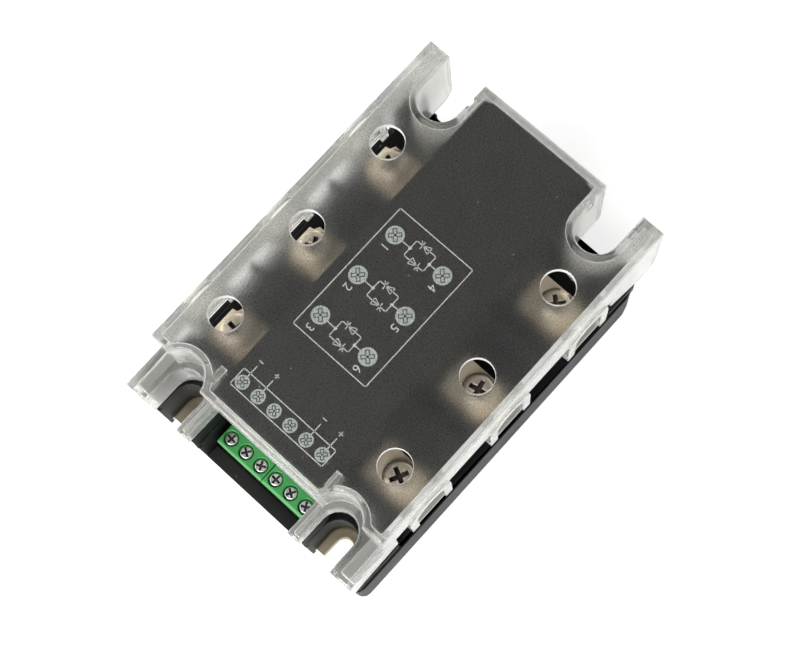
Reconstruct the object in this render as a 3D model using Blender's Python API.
"""Three-phase solid state relay with a snap-on clear cover, as an assembly of separate pieces.

Frame: the origin is the middle of the bounding box's underside, which is the heat-sink face. +X runs
from the control terminals to the far end, +Y across the body and +Z up. Lengths are in millimetres.
"""

import bpy
import bmesh
from math import atan2, cos, degrees, pi, radians, sin, sqrt
from mathutils import Matrix, Vector

MM = 0.001
GAP = 0.3

# ---------------------------------------------------------------- driving dimensions
TOP_Z = 46.0
END_X = 55.0
HALF_WIDTH = 36.8
WALL = 1.8
FIT = 0.4
POLE_PITCH = 28.1
POLE_X = 0.7
POLE_Y = 26.9
BOLT_Y = 25.1
BELOW = -1.0
ABOVE = TOP_Z + 1.0

# clear cover
TOP_UNDER_Z = TOP_Z - 1.8
DECK_Z = 33.0
DECK_UNDER_Z = DECK_Z - 1.8
RIM_Z = 20.3
RIB_RIM_Z = 27.0
STEP_X = -42.8
NEAR_WALL_X = -44.9
CENTRE_HALF = 19.1
NOTCH_X = 45.3
NOTCH_Y = 24.75
NOTCH_R = 5.65
RING_X = -45.7
RING_R = 6.3
DECK_SLOT_X = -46.8
DECK_SLOT_R = 5.1
RIB_HALF_IN = 16.6
RIB_WALL = 1.1
HOLE_R = 4.2
TOP_EDGE = 1.2
DECK_EDGE = 0.8
WINDOW_Z = 26.5
WINDOW_HALF = 4.6
FRAME_HALF = 7.1
FRAME_PROUD = 0.55
FOOT_WIDTH = 2.5
PANE_DEPTH = 0.7
SLIT_X = (48.3, 50.7)
SLIT_DEPTH = 6.0
HOOK_X = (-41.2, -36.9)
HOOK_Y = (17.6, 19.2)
HOOK_DEPTH = 9.0
CORNER_CUT = (3.2, 3.6)

# body housing
BODY_NEAR_X = -54.5
BODY_FAR_X = 48.9
BODY_MIDDLE_FAR_X = 47.4
BODY_Z = 0.4
FLANGE_HALF = 37.4
FLANGE_Z = 17.0
FLANGE_NEAR_R = 2.4
FLANGE_FAR_R = 5.0
FLANGE_STEP = 0.6
UPPER_HALF = HALF_WIDTH - WALL - FIT
POLE_DECK_Z = 21.9
COLUMN_HALF = 17.0
COLUMN_NEAR_X = -42.6
COLUMN_Z = 41.0
COLUMN_WALL = 2.0
POCKET_HALF = 16.2
POCKET_NEAR_X = -50.6
POCKET_FAR_X = -40.5
POCKET_Z = 15.0
LIP_Z = 5.2
NEAR_SLOT_X = -48.0
NEAR_SLOT_R = 5.0
FAR_SLOT_X = 44.1
FAR_SLOT_R = 5.3
RIB_SEAT = (16.4, 20.0)
NEAR_RISE = (-38.2, -35.5)
FAR_RISE = (38.1, 47.1)
BARRIER_HALF = 1.0
BARRIER_Z = 32.5
CAVITY_HALF_X = 36.0
CAVITY_HALF_Y = 32.0
BOSS_R = 6.6
BOSS_Z = 13.5

# base plate
PLATE_Z = 3.0
PLATE_HALF = 34.4
PLATE_NEAR_X = -53.0
PLATE_FAR_X = 47.1
PLATE_CORNER_R = 1.5
PLATE_SLOT_R = 2.6
LAND_THICK = 0.2
LAND_MARGIN = 0.3
BOLT_NEAR_X = -48.3
BOLT_FAR_X = 44.7

# lid and label
LID_Z = COLUMN_Z + GAP
LID_THICK = 1.5
LABEL_Z = LID_Z + LID_THICK + GAP
LABEL_THICK = 0.4
LABEL_NEAR_X = -40.7

# power poles, from the deck upwards
TERMINAL_Z = POLE_DECK_Z + GAP
STRIP_THICK = 1.2
TERMINAL_HALF = 5.4
TERMINAL_IN = 18.8
TERMINAL_NECK = 31.6
TERMINAL_OUT = 32.9
TIP_HALF = 3.7
LEG_HALF = 4.0
LEG_Z = 5.2
FOOT_LENGTH = 5.5
FLAT_WASHER_Z = TERMINAL_Z + STRIP_THICK + GAP
FLAT_WASHER_R = 5.2
FLAT_WASHER_THICK = 1.0
SPRING_WASHER_Z = FLAT_WASHER_Z + FLAT_WASHER_THICK + GAP
SPRING_WASHER_R = 4.3
SPRING_WASHER_THICK = 1.2
SPLIT = 0.7
HEAD_Z = SPRING_WASHER_Z + SPRING_WASHER_THICK + GAP
HEAD_R = 4.4
HEAD_HEIGHT = 3.3
SHANK_R = 2.45
SHANK_LENGTH = 12.0
NUT_FLATS = 8.0
NUT_Z = 17.3
NUT_HEIGHT = 4.0

# control terminals
CONTROL_PITCH = 5.08
CONTROL_X = -47.3
BLOCK_NEAR_X = -50.2
BLOCK_FAR_X = -41.3
BLOCK_Z = 5.8
BLOCK_TOP_Z = 14.2
CELL_HALF = 1.9
CELL_Z = (6.3, 11.9)
CELL_FAR_X = -44.6
SMALL_SHANK_R = 0.9
SMALL_TIP_DEPTH = 1.3
SMALL_HEAD_R = 1.65
SMALL_HEAD_Z = 12.8
WELL_R = SMALL_HEAD_R + GAP
CAGE_X = (-49.7, -45.1)
CAGE_HALF = 1.55
CAGE_Z = (6.6, 10.2)
CAGE_WALL = 0.65

# electronics on the base plate and the board
BOARD_X = (-50.2, 36.2)
BOARD_HALF = 14.6
BOARD_Z = 4.3
BOARD_THICK = 1.2
CERAMIC_HALF_X = 7.6
CERAMIC_HALF_Y = 29.0
CERAMIC_Z = PLATE_Z + GAP
CERAMIC_THICK = 0.64
CHIP_Z = CERAMIC_Z + CERAMIC_THICK + GAP
CHIP_THICK = 0.6
CHIP_HALF_X = 5.5
CHIP_Y = (17.8, 25.8)
TRIGGER_HALF = (6.0, 4.0)
TRIGGER_Z = BOARD_Z + BOARD_THICK + GAP
TRIGGER_THICK = 2.6


# ---------------------------------------------------------------- modelling helpers
def clear_scene():
    """Empty the scene of every object."""
    for old in list(bpy.data.objects):
        bpy.data.objects.remove(old, do_unlink=True)


def material(name, color, roughness, metallic=0.0, transmission=0.0):
    """One Principled material."""
    made = bpy.data.materials.new(name)
    made.use_nodes = True
    shader = made.node_tree.nodes["Principled BSDF"]
    shader.inputs["Base Color"].default_value = (*color, 1.0)
    shader.inputs["Roughness"].default_value = roughness
    shader.inputs["Metallic"].default_value = metallic
    shader.inputs["Transmission Weight"].default_value = transmission
    return made


def arc(centre_x, centre_y, radius, start, end, steps):
    """Points on an arc, with its angles in degrees."""
    turn = (end - start) / steps
    angles = [radians(start + turn * step) for step in range(steps + 1)]
    return [(centre_x + radius * cos(a), centre_y + radius * sin(a)) for a in angles]


def rectangle(x0, x1, y0, y1, near_radius=0.0, far_radius=0.0, steps=3):
    """A rectangle's outline, with its near and far corners rounded where a radius is given."""
    if near_radius == 0.0:
        return [(x0, y0), (x1, y0), (x1, y1), (x0, y1)]
    near, far = near_radius, far_radius
    outline = arc(x0 + near, y0 + near, near, 180, 270, steps)
    outline += arc(x1 - far, y0 + far, far, 270, 360, steps)
    outline += arc(x1 - far, y1 - far, far, 0, 90, steps)
    outline += arc(x0 + near, y1 - near, near, 90, 180, steps)
    return outline


def circle(centre_x, centre_y, radius, sides=24):
    """A circle's outline."""
    return arc(centre_x, centre_y, radius, 0, 360, sides)[:-1]


def hexagon(centre_x, centre_y, flats):
    """A hexagon's outline from its width across flats."""
    return circle(centre_x, centre_y, flats / 2 / cos(pi / 6), 6)


def slot(centre_x, centre_y, radius, open_x, steps=10):
    """A slot with one round end, running along X to open_x."""
    if open_x < centre_x:
        outline = arc(centre_x, centre_y, radius, -90, 90, steps)
    else:
        outline = arc(centre_x, centre_y, radius, 90, 270, steps)
    return outline + [(open_x, outline[-1][1]), (open_x, outline[0][1])]


def link(name, mesh, finish):
    """An object from a mesh in millimetres, linked to the scene."""
    mesh.transform(Matrix.Scale(MM, 4))
    made = bpy.data.objects.new(name, mesh)
    bpy.context.scene.collection.objects.link(made)
    if finish:
        mesh.materials.append(finish)
    return made


def to_object(name, shape, finish):
    """Close off a bmesh and make its object."""
    bmesh.ops.recalc_face_normals(shape, faces=shape.faces)
    mesh = bpy.data.meshes.new(name)
    shape.to_mesh(mesh)
    shape.free()
    return link(name, mesh, finish)


def extrude(name, outline, low, high, finish=None, along="Z", top_edge=0.0):
    """A closed prism: an outline in XY raised along Z, or an outline in XZ carried along Y."""
    shape = bmesh.new()
    if along == "Z":
        bottom = [shape.verts.new((x, y, low)) for x, y in outline]
        travel = Vector((0, 0, high - low))
    else:
        bottom = [shape.verts.new((x, low, z)) for x, z in outline]
        travel = Vector((0, high - low, 0))
    face = shape.faces.new(bottom)
    grown = bmesh.ops.extrude_face_region(shape, geom=[face])
    moved = [item for item in grown["geom"] if isinstance(item, bmesh.types.BMVert)]
    bmesh.ops.translate(shape, verts=moved, vec=travel)
    bmesh.ops.recalc_face_normals(shape, faces=shape.faces)
    if top_edge:
        rim = [e for e in shape.edges if all(abs(v.co.z - high) < 1e-6 for v in e.verts)]
        bmesh.ops.bevel(shape, geom=rim, offset=top_edge, segments=2, profile=0.5,
                        affect="EDGES", material=-1, clamp_overlap=True)
    return to_object(name, shape, finish)


def turned(name, profile, sides, finish=None, closed=False):
    """A solid of revolution about Z from (radius, z) points; a closed profile makes a ring."""
    shape = bmesh.new()
    points = [shape.verts.new((radius, 0, z)) for radius, z in profile]
    pairs = list(zip(points, points[1:]))
    if closed:
        pairs.append((points[-1], points[0]))
    edges = [shape.edges.new(pair) for pair in pairs]
    bmesh.ops.spin(shape, geom=points + edges, cent=(0, 0, 0), axis=(0, 0, 1),
                   angle=2 * pi, steps=sides, use_merge=True)
    bmesh.ops.remove_doubles(shape, verts=shape.verts, dist=0.0001)
    return to_object(name, shape, finish)


def combine(target, tool, operation):
    """Join or cut with a hidden tool object, through a live Boolean."""
    step = target.modifiers.new(tool.name, "BOOLEAN")
    step.object = tool
    step.operation = operation
    step.solver = "EXACT"
    tool.hide_render = True
    tool.display_type = "WIRE"


def add(target, tool):
    """Union with a tool."""
    combine(target, tool, "UNION")


def cut(target, tool):
    """Subtract a tool."""
    combine(target, tool, "DIFFERENCE")


def box(name, x0, x1, y0, y1, z0, z1, finish=None):
    """A plain block, used as a piece or as a tool."""
    return extrude(name, rectangle(x0, x1, y0, y1), z0, z1, finish)


def place(target, x, y, turn=0.0):
    """Put an object's own axis at a point given in millimetres, turned about Z."""
    target.location = (x * MM, y * MM, 0.0)
    target.rotation_euler.z = turn


def smooth(target, angle=35):
    """Shade round pieces smooth and keep their edges."""
    target.data.shade_smooth()
    target.data.set_sharp_from_angle(angle=radians(angle))


SIDES = (("left", 1), ("right", -1))
PLACES = (1, 0, -1)
POLES = [(POLE_X + index * POLE_PITCH, side * POLE_Y, side) for _, side in SIDES for index in PLACES]


def span(side, low, high):
    """A Y range on one side of the centre line."""
    return (low, high) if side > 0 else (-high, -low)


# ---------------------------------------------------------------- clear cover
def mirrored(half):
    """A whole outline from its +Y half."""
    return half + [(x, -y) for x, y in reversed(half)]


def top_outline(inset):
    """Outline of the upper level: notches at the far end, rings cut into the near corners."""
    notch = NOTCH_R + inset
    ring = RING_R + inset
    step = STEP_X + inset - RING_X
    wall = NEAR_WALL_X + inset - RING_X
    start = degrees(atan2(sqrt(ring ** 2 - step ** 2), step))
    end = -degrees(atan2(sqrt(ring ** 2 - wall ** 2), wall))
    half = [(END_X - inset, CENTRE_HALF - inset)]
    half += arc(NOTCH_X, NOTCH_Y, notch, 270, 90, 14)
    half += [(END_X - inset, NOTCH_Y + notch), (END_X - inset, HALF_WIDTH - inset)]
    half += [(STEP_X + inset, HALF_WIDTH - inset)]
    half += arc(RING_X, BOLT_Y, ring, start, end, 12)
    return mirrored(half)


def deck_outline():
    """Outline of the lower level with its open slots and centre ribs."""
    half = [(END_X, CENTRE_HALF)]
    half += arc(NOTCH_X, NOTCH_Y, NOTCH_R, 270, 90, 14)
    half += [(END_X, NOTCH_Y + NOTCH_R), (END_X, HALF_WIDTH), (-END_X, HALF_WIDTH)]
    half += [(-END_X, BOLT_Y + DECK_SLOT_R)]
    half += arc(DECK_SLOT_X, BOLT_Y, DECK_SLOT_R, 90, -90, 10)
    half += [(-END_X, BOLT_Y - DECK_SLOT_R), (-END_X, RIB_HALF_IN), (NEAR_WALL_X, RIB_HALF_IN)]
    return mirrored(half)


def rim_profile():
    """What a side skirt loses from below, as (x, z): it slopes up from both ends to the windows."""
    far_start = POLE_X + POLE_PITCH + FRAME_HALF + 1.6
    near_start = POLE_X - POLE_PITCH - FRAME_HALF - 4.4
    low = RIM_Z - 2
    return [(-END_X - 1, low), (-END_X - 1, RIM_Z + 0.6), (near_start, RIM_Z + 3.4),
            (near_start, DECK_Z), (far_start, DECK_Z), (far_start, RIM_Z + 7.2),
            (BODY_FAR_X, RIM_Z + 0.3), (BODY_FAR_X, low)]


def arch(x, half, low, spring_z):
    """A round-topped window's outline in XZ."""
    return [(x - half, low), (x + half, low)] + arc(x, spring_z, half, 0, 180, 10)


def wire_window(cover, tag, x, side):
    """One proud window frame with two feet and a thinned knock-out pane."""
    low, high = span(side, HALF_WIDTH - WALL, HALF_WIDTH + FRAME_PROUD)
    frame = arch(x, FRAME_HALF, WINDOW_Z - 1.3, DECK_Z - 1.5)
    add(cover, extrude("cover_frame_" + tag, frame, low, high, along="Y"))
    for number, foot in enumerate((-1, 1)):
        start = x + foot * (FRAME_HALF - FOOT_WIDTH / 2) - FOOT_WIDTH / 2
        add(cover, box("cover_foot_%s_%d" % (tag, number), start, start + FOOT_WIDTH, low, high,
                       RIM_Z + 0.1, WINDOW_Z))
    low, high = span(side, HALF_WIDTH - PANE_DEPTH, HALF_WIDTH + 2)
    pane = arch(x, WINDOW_HALF, WINDOW_Z, DECK_Z - 2.0)
    cut(cover, extrude("cover_pane_" + tag, pane, low, high, along="Y"))


def clear_cover(finish):
    """The one-piece clear cover: two-level shell, notches, slots, holes, wire windows and hooks."""
    cover = extrude("clear_cover", top_outline(0.0), RIM_Z, TOP_Z, finish, top_edge=TOP_EDGE)
    add(cover, extrude("cover_low_level", deck_outline(), RIM_Z - 0.01, DECK_Z, top_edge=DECK_EDGE))
    cut(cover, extrude("cover_hollow", top_outline(WALL), BELOW, TOP_UNDER_Z))
    cut(cover, box("cover_middle_rim", -END_X - 1, RING_X + RING_R + WALL + 0.2, -BOLT_Y, BOLT_Y,
                   BELOW, RIB_RIM_Z))
    for name, side in SIDES:
        low, high = span(side, BOLT_Y + DECK_SLOT_R + WALL, HALF_WIDTH - WALL)
        cut(cover, box("cover_prong_hollow_" + name, WALL - END_X, STEP_X + 3, low, high,
                       BELOW, DECK_UNDER_Z))
        low, high = span(side, RIB_HALF_IN + RIB_WALL, BOLT_Y - DECK_SLOT_R - RIB_WALL)
        cut(cover, box("cover_rib_hollow_" + name, RIB_WALL - END_X, NEAR_WALL_X, low, high,
                       BELOW, DECK_Z - RIB_WALL))
        low, high = span(side, HALF_WIDTH - WALL - 0.6, HALF_WIDTH + 1)
        cut(cover, extrude("cover_rim_cut_" + name, rim_profile(), low, high, along="Y"))
        corner = [(END_X - CORNER_CUT[0], RIM_Z - 1), (END_X + 1, RIM_Z - 1), (END_X + 1, RIM_Z + CORNER_CUT[1])]
        low, high = span(side, NOTCH_Y, HALF_WIDTH + 1)
        cut(cover, extrude("cover_corner_cut_" + name, corner, low, high, along="Y"))
        low, high = span(side, CENTRE_HALF - 0.9, CENTRE_HALF + 0.9)
        cut(cover, box("cover_slit_" + name, *SLIT_X, low, high, TOP_Z - SLIT_DEPTH, ABOVE))
        low, high = span(side, *HOOK_Y)
        add(cover, box("cover_hook_" + name, *HOOK_X, low, high, TOP_Z - HOOK_DEPTH, TOP_Z - 1))
        for index in PLACES:
            wire_window(cover, "%s_%d" % (name, index + 2), POLE_X + index * POLE_PITCH, side)
    for number, (x, y, _) in enumerate(POLES, 1):
        cut(cover, extrude("cover_hole_%d" % number, circle(x, y, HOLE_R, 28), TOP_Z - 3, ABOVE))
    smooth(cover, 30)
    return cover


# ---------------------------------------------------------------- body, lid, label and base plate
def body_walls(body):
    """What stands on the flange: steps, pole deck, rises, barriers, column, rib seats and prongs."""
    step_half = FLANGE_HALF - FLANGE_STEP
    add(body, box("body_far_step", FAR_RISE[0] - 0.5, BODY_MIDDLE_FAR_X, -step_half, step_half,
                  POCKET_Z, RIM_Z - GAP))
    add(body, box("body_near_step", BODY_NEAR_X + 1, NEAR_RISE[0] - 0.9, -step_half, step_half,
                  POCKET_Z, RIM_Z - GAP))
    add(body, box("body_deck", NEAR_RISE[0], FAR_RISE[1], -UPPER_HALF, UPPER_HALF, 10, POLE_DECK_Z))
    add(body, box("body_near_rise", *NEAR_RISE, -UPPER_HALF, UPPER_HALF, 10, DECK_Z - 3))
    add(body, box("body_far_rise", *FAR_RISE, -UPPER_HALF, UPPER_HALF, 10, BARRIER_Z))
    add(body, box("body_column", COLUMN_NEAR_X, BODY_MIDDLE_FAR_X - 0.2, -COLUMN_HALF, COLUMN_HALF,
                  10, COLUMN_Z))
    for number, index in enumerate((-1, 1)):
        x = POLE_X + index * POLE_PITCH / 2
        add(body, box("body_barrier_%d" % number, x - BARRIER_HALF, x + BARRIER_HALF,
                      -UPPER_HALF, UPPER_HALF, POCKET_Z, BARRIER_Z))
    for name, side in SIDES:
        low, high = span(side, *RIB_SEAT)
        add(body, box("body_rib_seat_" + name, BODY_NEAR_X + 0.1, COLUMN_NEAR_X + 0.6, low, high,
                      4, RIB_RIM_Z - FIT))
        low, high = span(side, BOLT_Y + DECK_SLOT_R + WALL + FIT, UPPER_HALF)
        add(body, box("body_prong_fill_" + name, WALL + FIT - END_X, NEAR_RISE[0] + 1, low, high,
                      10, DECK_UNDER_Z - FIT))


def body_hollows(body):
    """The cavities over the electronics, the base plate's recess and the control pocket."""
    cut(body, box("body_cavity", POLE_X - CAVITY_HALF_X, POLE_X + CAVITY_HALF_X,
                  -CAVITY_HALF_Y, CAVITY_HALF_Y, BELOW, POLE_DECK_Z - 2))
    inner = COLUMN_HALF - COLUMN_WALL
    cut(body, box("body_column_cavity", POCKET_FAR_X - 0.2, BODY_MIDDLE_FAR_X - 0.2 - COLUMN_WALL,
                  -inner, inner, BELOW, ABOVE))
    cut(body, box("body_plate_recess", PLATE_NEAR_X - FIT, PLATE_FAR_X + FIT,
                  -PLATE_HALF - FIT, PLATE_HALF + FIT, BELOW, PLATE_Z + GAP))
    cut(body, box("body_pocket", POCKET_NEAR_X, POCKET_FAR_X, -POCKET_HALF, POCKET_HALF,
                  BELOW, POCKET_Z))
    cut(body, box("body_pocket_mouth", POCKET_NEAR_X - 0.1, COLUMN_NEAR_X - 1.6,
                  -POCKET_HALF, POCKET_HALF, 10, ABOVE))
    cut(body, box("body_front_opening", BODY_NEAR_X - 1, POCKET_NEAR_X + 0.1,
                  -POCKET_HALF, POCKET_HALF, LIP_Z, ABOVE))


def body_clearances(body):
    """Bolt slots, and room for the cover's curved walls."""
    clearance = WALL + FIT
    far_x = BODY_FAR_X + 1
    for name, side in SIDES:
        y = side * BOLT_Y
        cut(body, extrude("body_near_slot_" + name, slot(NEAR_SLOT_X, y, NEAR_SLOT_R, BODY_NEAR_X - 1),
                          BELOW, ABOVE))
        radius = RING_R + clearance
        ring = circle(RING_X, y, radius, 28)
        cut(body, extrude("body_ring_relief_" + name, ring, RIB_RIM_Z - GAP, ABOVE))
        outer = arc(RING_X, y, radius, 0, side * 180, 12)
        outer += [(RING_X - radius, y - side * FIT), (RING_X + radius, y - side * FIT)]
        cut(body, extrude("body_wall_relief_" + name, outer, RIM_Z - GAP, ABOVE))
        cut(body, extrude("body_far_slot_" + name, slot(FAR_SLOT_X, y, FAR_SLOT_R, far_x), BELOW, ABOVE))
        notch = slot(NOTCH_X, side * NOTCH_Y, NOTCH_R + clearance, far_x)
        cut(body, extrude("body_notch_relief_" + name, notch, RIM_Z - GAP, ABOVE))
    cut(body, box("body_far_cutback", BODY_MIDDLE_FAR_X, far_x, -BOLT_Y, BOLT_Y, BELOW, ABOVE))


def body_poles(body):
    """Under each terminal: a boss with a nut pocket and a shank hole, and a slot for the leg."""
    for number, (x, y, side) in enumerate(POLES, 1):
        tag = str(number)
        add(body, extrude("body_boss_" + tag, circle(x, y, BOSS_R), BOSS_Z, POLE_DECK_Z - 0.5))
        pocket = hexagon(x, y, NUT_FLATS + 0.7)
        cut(body, extrude("body_nut_pocket_" + tag, pocket, NUT_Z - GAP, ABOVE))
        cut(body, extrude("body_shank_hole_" + tag, circle(x, y, SHANK_R + 0.5, 20),
                          BOSS_Z - 1, POLE_DECK_Z))
        low, high = span(side, TERMINAL_IN - FIT, TERMINAL_IN + STRIP_THICK + FIT)
        cut(body, box("body_leg_slot_" + tag, x - LEG_HALF - FIT, x + LEG_HALF + FIT, low, high,
                      POCKET_Z, POLE_DECK_Z + 1))


def body_housing(finish):
    """The black moulding: flange, pole decks with barriers, hollow centre column and pockets."""
    foot = rectangle(BODY_NEAR_X, BODY_FAR_X, -FLANGE_HALF, FLANGE_HALF, FLANGE_NEAR_R, FLANGE_FAR_R)
    body = extrude("body_housing", foot, BODY_Z, FLANGE_Z, finish)
    body_walls(body)
    body_hollows(body)
    body_clearances(body)
    body_poles(body)
    return body


def centre_lid(finish):
    """The plate that closes the centre column and carries the label."""
    far_x = END_X - WALL - FIT
    outline = rectangle(COLUMN_NEAR_X, far_x, -COLUMN_HALF, COLUMN_HALF, 0.6, 0.6, 2)
    return extrude("centre_lid", outline, LID_Z, LID_Z + LID_THICK, finish, top_edge=0.3)


def label_plate(finish):
    """The printed sheet on the lid."""
    far_x = END_X - WALL - FIT - GAP
    half = COLUMN_HALF - 0.1
    outline = rectangle(LABEL_NEAR_X, far_x, -half, half, 0.5, 0.5, 2)
    return extrude("label_plate", outline, LABEL_Z, LABEL_Z + LABEL_THICK, finish)


def base_plate(finish):
    """The metal heat-transfer plate with four open bolt slots, each in a raised washer land."""
    radius = PLATE_CORNER_R
    outline = rectangle(PLATE_NEAR_X, PLATE_FAR_X, -PLATE_HALF, PLATE_HALF, radius, 3 * radius)
    plate = extrude("base_plate", outline, 0.0, PLATE_Z, finish)
    for name, side in SIDES:
        near_land = slot(NEAR_SLOT_X, side * BOLT_Y, NEAR_SLOT_R - LAND_MARGIN, PLATE_NEAR_X + LAND_MARGIN)
        add(plate, extrude("plate_near_land_" + name, near_land, PLATE_Z - 1, PLATE_Z + LAND_THICK))
        far_land = slot(FAR_SLOT_X, side * BOLT_Y, FAR_SLOT_R - LAND_MARGIN, PLATE_FAR_X - LAND_MARGIN)
        add(plate, extrude("plate_far_land_" + name, far_land, PLATE_Z - 1, PLATE_Z + LAND_THICK))
        near = slot(BOLT_NEAR_X, side * BOLT_Y, PLATE_SLOT_R, PLATE_NEAR_X - 1)
        cut(plate, extrude("plate_near_slot_" + name, near, BELOW, PLATE_Z + 1))
        far = slot(BOLT_FAR_X, side * BOLT_Y, PLATE_SLOT_R, PLATE_FAR_X + 1)
        cut(plate, extrude("plate_far_slot_" + name, far, BELOW, PLATE_Z + 1))
    return plate


# ---------------------------------------------------------------- power poles
def terminal_outline(x, side):
    """A power terminal's top face: broad inside, narrower at its outer tip."""
    shoulder = TERMINAL_HALF - 1.4
    outline = [(x - TERMINAL_HALF, side * TERMINAL_IN), (x + TERMINAL_HALF, side * TERMINAL_IN)]
    outline += [(x + TERMINAL_HALF, side * (TERMINAL_NECK - 0.6)), (x + shoulder, side * TERMINAL_NECK)]
    outline += [(x + TIP_HALF, side * TERMINAL_OUT), (x - TIP_HALF, side * TERMINAL_OUT)]
    outline += [(x - shoulder, side * TERMINAL_NECK), (x - TERMINAL_HALF, side * (TERMINAL_NECK - 0.6))]
    return outline


def power_terminal(number, x, y, side, finish):
    """A bent strip: the plate under the screw, a leg through the deck and a foot over the chip."""
    name = "power_terminal_%d" % number
    strip = extrude(name, terminal_outline(x, side), TERMINAL_Z, TERMINAL_Z + STRIP_THICK, finish)
    low, high = span(side, TERMINAL_IN, TERMINAL_IN + STRIP_THICK)
    add(strip, box(name + "_leg", x - LEG_HALF, x + LEG_HALF, low, high, LEG_Z - 0.1, TERMINAL_Z + 0.5))
    low, high = span(side, TERMINAL_IN - 0.01, TERMINAL_IN + FOOT_LENGTH)
    add(strip, box(name + "_foot", x - LEG_HALF + 0.1, x + LEG_HALF - 0.1, low, high, LEG_Z, LEG_Z + 1))
    cut(strip, extrude(name + "_hole", circle(x, y, SHANK_R + 0.35), BOSS_Z, DECK_Z))
    return strip


def cross(length, width):
    """Outline of a cross recess about the origin."""
    far, near = length / 2, width / 2
    quarter = [(near, far), (near, near), (far, near), (far, -near), (near, -near), (near, -far)]
    return quarter + [(-x, -y) for x, y in quarter]


def cross_screw(name, profile, recess, turn, x, y, sides, finish):
    """A turned screw with a cross recess, its origin on its own axis."""
    screw = turned(name, profile, sides, finish)
    length, width, floor = recess
    tool = extrude(name + "_recess", cross(length, width), floor, profile[-1][1] + 1)
    cut(screw, tool)
    smooth(screw)
    place(screw, x, y, turn)
    place(tool, x, y, turn)
    return screw


def power_screw(number, x, y, finish):
    """A captive pan-head machine screw."""
    top = HEAD_Z + HEAD_HEIGHT
    tip = HEAD_Z - SHANK_LENGTH
    profile = [(0, tip), (SHANK_R - 0.5, tip), (SHANK_R, tip + 0.6), (SHANK_R, HEAD_Z), (HEAD_R, HEAD_Z)]
    profile += [(HEAD_R, HEAD_Z + 1.5), (HEAD_R - 0.45, top - 0.7), (HEAD_R - 1.2, top - 0.15), (0, top)]
    return cross_screw("power_screw_%d" % number, profile, (4.4, 1.1, top - 1.9),
                       radians(17 + 53 * number), x, y, 20, finish)


def flat_washer(number, x, y, finish):
    """The flat washer under the spring washer."""
    low, high = FLAT_WASHER_Z, FLAT_WASHER_Z + FLAT_WASHER_THICK
    bore = SHANK_R + GAP
    profile = [(bore, low), (FLAT_WASHER_R, low), (FLAT_WASHER_R, high), (bore, high)]
    made = turned("flat_washer_%d" % number, profile, 24, finish, closed=True)
    smooth(made)
    place(made, x, y)
    return made


def spring_washer(number, x, y, finish):
    """A split ring."""
    bore = SHANK_R + GAP
    half = degrees(SPLIT / 2 / bore)
    outline = arc(0, 0, SPRING_WASHER_R, half, 360 - half, 22)
    outline += arc(0, 0, bore, 360 - half, half, 22)
    made = extrude("spring_washer_%d" % number, outline, SPRING_WASHER_Z,
                   SPRING_WASHER_Z + SPRING_WASHER_THICK, finish)
    smooth(made)
    place(made, x, y, radians(40 + 37 * number))
    return made


def nut_insert(number, x, y, finish):
    """The hexagon nut caught in the deck's pocket."""
    name = "nut_insert_%d" % number
    made = extrude(name, hexagon(x, y, NUT_FLATS), NUT_Z, NUT_Z + NUT_HEIGHT, finish)
    cut(made, extrude(name + "_bore", circle(x, y, SHANK_R + GAP, 20), NUT_Z - 1, POLE_DECK_Z))
    return made


# ---------------------------------------------------------------- control terminals
def control_block(name, ys, finish):
    """A three-way green block with screw wells on top and wire mouths in front."""
    low = min(ys) - CONTROL_PITCH / 2 + GAP / 2
    high = max(ys) + CONTROL_PITCH / 2 - GAP / 2
    outline = [(BLOCK_NEAR_X, BLOCK_Z), (BLOCK_FAR_X, BLOCK_Z), (BLOCK_FAR_X, BLOCK_TOP_Z)]
    outline += [(BLOCK_NEAR_X + 0.5, BLOCK_TOP_Z), (BLOCK_NEAR_X, BLOCK_TOP_Z - 0.5)]
    block = extrude(name, outline, low, high, finish, along="Y")
    for number, y in enumerate(ys, 1):
        tag = "%s_%d" % (name, number)
        cut(block, box(tag + "_cell", BLOCK_NEAR_X - 1, CELL_FAR_X, y - CELL_HALF, y + CELL_HALF, *CELL_Z))
        cut(block, extrude(tag + "_well", circle(CONTROL_X, y, WELL_R, 20), SMALL_HEAD_Z - GAP, POCKET_Z))
        cut(block, extrude(tag + "_shank", circle(CONTROL_X, y, SMALL_SHANK_R + GAP, 12),
                           CELL_Z[1] - 1, SMALL_HEAD_Z))
    return block


def control_screw(number, y, finish):
    """A small cross-head screw, held in its block and free to turn."""
    top = BLOCK_TOP_Z - 0.25
    tip = CAGE_Z[1] - SMALL_TIP_DEPTH
    profile = [(0, tip), (SMALL_SHANK_R, tip), (SMALL_SHANK_R, SMALL_HEAD_Z)]
    profile += [(SMALL_HEAD_R, SMALL_HEAD_Z), (SMALL_HEAD_R, top - 0.25), (SMALL_HEAD_R - 0.3, top), (0, top)]
    return cross_screw("control_screw_%d" % number, profile, (2.5, 0.55, top - 0.7),
                       radians(23 + 61 * number), CONTROL_X, y, 14, finish)


def clamp_cage(number, y, finish):
    """The square cage that rises on the screw and grips the wire."""
    name = "clamp_cage_%d" % number
    inner = CAGE_HALF - CAGE_WALL
    cage = box(name, *CAGE_X, y - CAGE_HALF, y + CAGE_HALF, *CAGE_Z, finish)
    cut(cage, box(name + "_mouth", CAGE_X[0] - 1, CAGE_X[1] + 1, y - inner, y + inner,
                  CAGE_Z[0] + CAGE_WALL, CAGE_Z[1] - CAGE_WALL))
    cut(cage, extrude(name + "_thread", circle(CONTROL_X, y, SMALL_SHANK_R + GAP, 12), 9, 11))
    return cage


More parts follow.
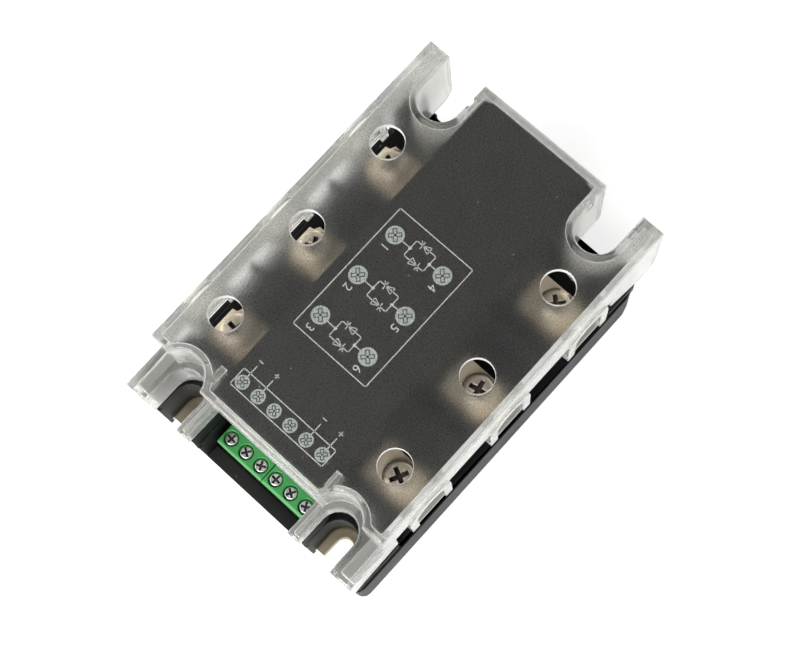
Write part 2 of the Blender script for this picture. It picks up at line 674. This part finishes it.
# ---------------------------------------------------------------- electronics
def electronics(laminate, ceramic, silicon, plastic):
    """The control board, the ceramic insulators, the thyristor chips and the trigger chip."""
    box("control_board", *BOARD_X, -BOARD_HALF, BOARD_HALF, BOARD_Z, BOARD_Z + BOARD_THICK, laminate)
    for number, index in enumerate(PLACES, 1):
        x = POLE_X + index * POLE_PITCH
        box("ceramic_insulator_%d" % number, x - CERAMIC_HALF_X, x + CERAMIC_HALF_X,
            -CERAMIC_HALF_Y, CERAMIC_HALF_Y, CERAMIC_Z, CERAMIC_Z + CERAMIC_THICK, ceramic)
    for number, (x, _, side) in enumerate(POLES, 1):
        low, high = span(side, *CHIP_Y)
        box("thyristor_chip_%d" % number, x - CHIP_HALF_X, x + CHIP_HALF_X, low, high,
            CHIP_Z, CHIP_Z + CHIP_THICK, silicon)
    half_x, half_y = TRIGGER_HALF
    box("trigger_chip", -half_x, half_x, -half_y, half_y, TRIGGER_Z, TRIGGER_Z + TRIGGER_THICK, plastic)


# ---------------------------------------------------------------- the assembly
def build():
    """Model every piece in place."""
    clear_scene()
    clear = material("frosted_polycarbonate", (0.62, 0.62, 0.58), 0.35, transmission=0.8)
    black = material("black_plastic", (0.028, 0.028, 0.026), 0.45)
    sheet = material("label_sheet", (0.062, 0.060, 0.057), 0.6)
    metal = material("base_metal", (0.30, 0.26, 0.20), 0.4, 1.0)
    nickel = material("nickel_plate", (0.62, 0.52, 0.40), 0.3, 1.0)
    steel = material("screw_steel", (0.60, 0.52, 0.43), 0.28, 1.0)
    zinc = material("zinc_steel", (0.62, 0.64, 0.62), 0.3, 1.0)
    green = material("green_plastic", (0.035, 0.26, 0.07), 0.4)
    laminate = material("board_laminate", (0.03, 0.16, 0.06), 0.5)
    ceramic = material("alumina_ceramic", (0.85, 0.84, 0.80), 0.6)
    silicon = material("silicon_chip", (0.16, 0.17, 0.19), 0.25, 0.6)
    base_plate(metal)
    body_housing(black)
    centre_lid(black)
    label_plate(sheet)
    clear_cover(clear)
    for number, (x, y, side) in enumerate(POLES, 1):
        power_terminal(number, x, y, side, nickel)
        nut_insert(number, x, y, zinc)
        flat_washer(number, x, y, nickel)
        spring_washer(number, x, y, nickel)
        power_screw(number, x, y, steel)
    ys = [(2.5 - place_index) * CONTROL_PITCH for place_index in range(6)]
    control_block("control_block_left", ys[:3], green)
    control_block("control_block_right", ys[3:], green)
    for number, y in enumerate(ys, 1):
        control_screw(number, y, zinc)
        clamp_cage(number, y, zinc)
    electronics(laminate, ceramic, silicon, black)


build()
